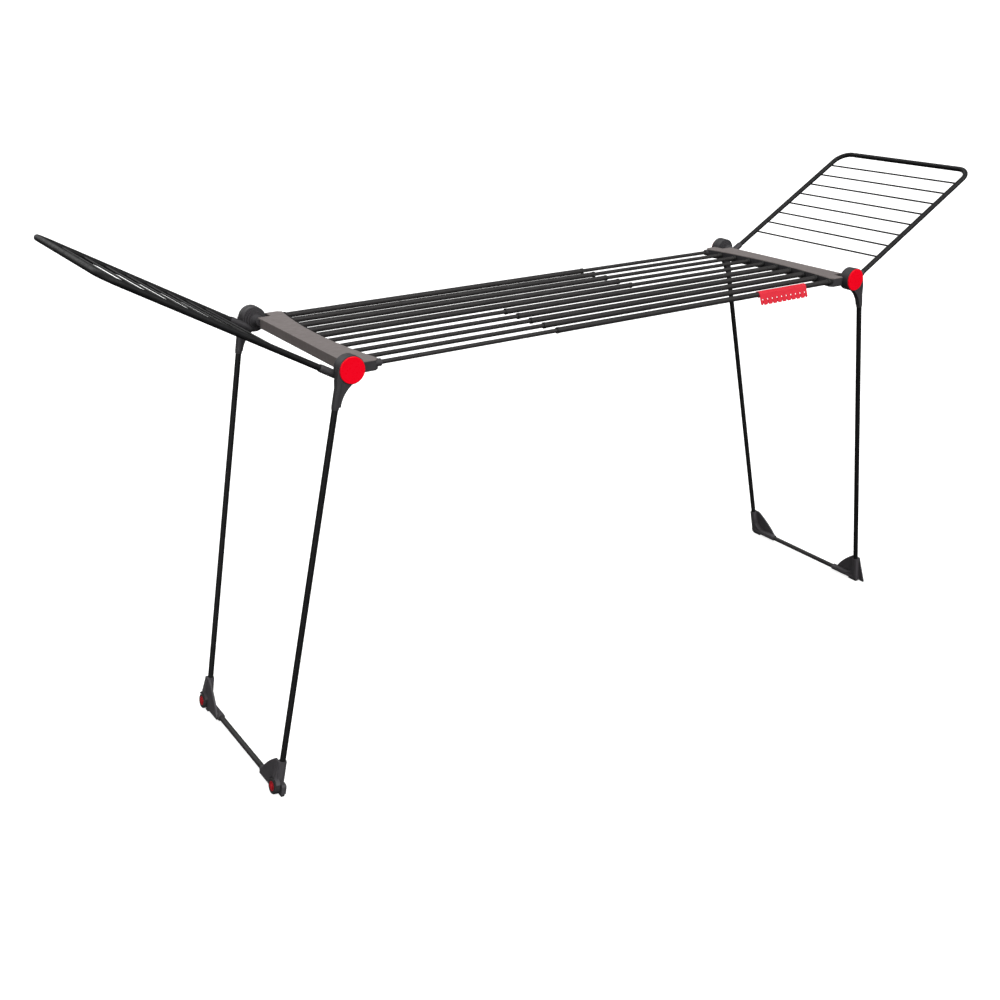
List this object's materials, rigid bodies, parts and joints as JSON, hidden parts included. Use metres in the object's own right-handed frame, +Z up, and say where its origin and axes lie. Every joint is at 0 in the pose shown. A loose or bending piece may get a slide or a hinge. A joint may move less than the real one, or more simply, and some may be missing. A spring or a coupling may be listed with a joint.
{
  "type": "telescopic clothes airer",
  "caption": "Free-standing folding clothes airer with splayed leg frames, raised hinged wings and a telescopic bed of drying rods.",
  "frame": {"origin": "on the floor, under the middle of the airer", "axes": "+X along the drying rods towards the end that slides, +Y to the rear, +Z up"},
  "size_m": [2.6166, 0.5632, 1.3065],
  "materials": {
    "header_grey": "fine matte",
    "charcoal_plastic": "matte",
    "pin_steel": "bright",
    "rod_grey": "satin",
    "tube_black": "satin",
    "bush_black": "matte",
    "cap_red": "gloss",
    "rubber_black": "matte",
    "clip_red": "satin"
  },
  "bodies": {
    "left_end": {"left_header_cover": "header_grey", "left_header_base": "charcoal_plastic", "left_hub_pins": "pin_steel", "left_outer_tube_1": "rod_grey", "left_outer_tube_2": "rod_grey", "left_outer_tube_3": "rod_grey", "left_outer_tube_4": "rod_grey", "left_outer_tube_5": "rod_grey", "left_inner_rod_1": "rod_grey", "left_inner_rod_2": "rod_grey", "left_inner_rod_3": "rod_grey", "left_inner_rod_4": "rod_grey", "left_inner_rod_5": "rod_grey", "left_tube_bushes": "bush_black", "left_rod_glides": "bush_black"},
    "right_end": {"right_header_cover": "header_grey", "right_header_base": "charcoal_plastic", "right_hub_pins": "pin_steel", "right_outer_tube_1": "rod_grey", "right_outer_tube_2": "rod_grey", "right_outer_tube_3": "rod_grey", "right_outer_tube_4": "rod_grey", "right_outer_tube_5": "rod_grey", "right_inner_rod_1": "rod_grey", "right_inner_rod_2": "rod_grey", "right_inner_rod_3": "rod_grey", "right_inner_rod_4": "rod_grey", "right_inner_rod_5": "rod_grey", "right_tube_bushes": "bush_black", "right_rod_glides": "bush_black"},
    "left_leg": {"left_leg_knuckles": "charcoal_plastic", "left_hub_caps": "cap_red", "left_rear_leg_tube": "tube_black", "left_front_leg_tube": "tube_black", "left_foot_bar": "tube_black", "left_feet": "charcoal_plastic", "left_floor_pads": "rubber_black", "wheel_axles": "cap_red"},
    "right_leg": {"right_leg_knuckles": "charcoal_plastic", "right_hub_caps": "cap_red", "right_rear_leg_tube": "tube_black", "right_front_leg_tube": "tube_black", "right_foot_bar": "tube_black", "right_feet": "charcoal_plastic", "right_floor_pads": "rubber_black"},
    "left_wing": {"left_wing_knuckles": "charcoal_plastic", "left_wing_frame": "tube_black", "left_wing_wires": "tube_black"},
    "right_wing": {"right_wing_knuckles": "charcoal_plastic", "right_wing_frame": "tube_black", "right_wing_wires": "tube_black"},
    "rear_wheel": {"rear_tyre": "rubber_black", "rear_wheel_core": "cap_red"},
    "front_wheel": {"front_tyre": "rubber_black", "front_wheel_core": "cap_red"},
    "peg_clip": {"peg_clip": "clip_red"}
  },
  "joints": [
    {"name": "bed_slide", "type": "slide", "parent": "left_end", "child": "right_end", "axis": [1, 0, 0], "range_m": [-0.42, 0]},
    {"name": "left_leg_fold", "type": "hinge", "parent": "left_end", "child": "left_leg", "pos_m": [-0.8, 0, 1.038], "axis": [0, -1, 0], "range_deg": [0, 101]},
    {"name": "right_leg_fold", "type": "hinge", "parent": "right_end", "child": "right_leg", "pos_m": [0.8, 0, 1.038], "axis": [0, 1, 0], "range_deg": [0, 96]},
    {"name": "left_wing_fold", "type": "hinge", "parent": "left_end", "child": "left_wing", "pos_m": [-0.8, 0, 1.038], "axis": [0, 1, 0], "range_deg": [0, 150]},
    {"name": "right_wing_fold", "type": "hinge", "parent": "right_end", "child": "right_wing", "pos_m": [0.8, 0, 1.038], "axis": [0, -1, 0], "range_deg": [0, 150]},
    {"name": "rear_wheel_spin", "type": "hinge", "parent": "left_leg", "child": "rear_wheel", "pos_m": [-1.03964, 0.22983, 0.02208], "axis": [0.9809, 0, -0.1947], "continuous": true},
    {"name": "front_wheel_spin", "type": "hinge", "parent": "left_leg", "child": "front_wheel", "pos_m": [-1.03964, -0.22983, 0.02208], "axis": [0.9809, 0, -0.1947], "continuous": true},
    {"name": "clip_swing", "type": "hinge", "parent": "right_end", "child": "peg_clip", "pos_m": [0.531, -0.252, 1.0365], "axis": [1, 0, 0], "range_deg": [-60, 30]}
  ]
}
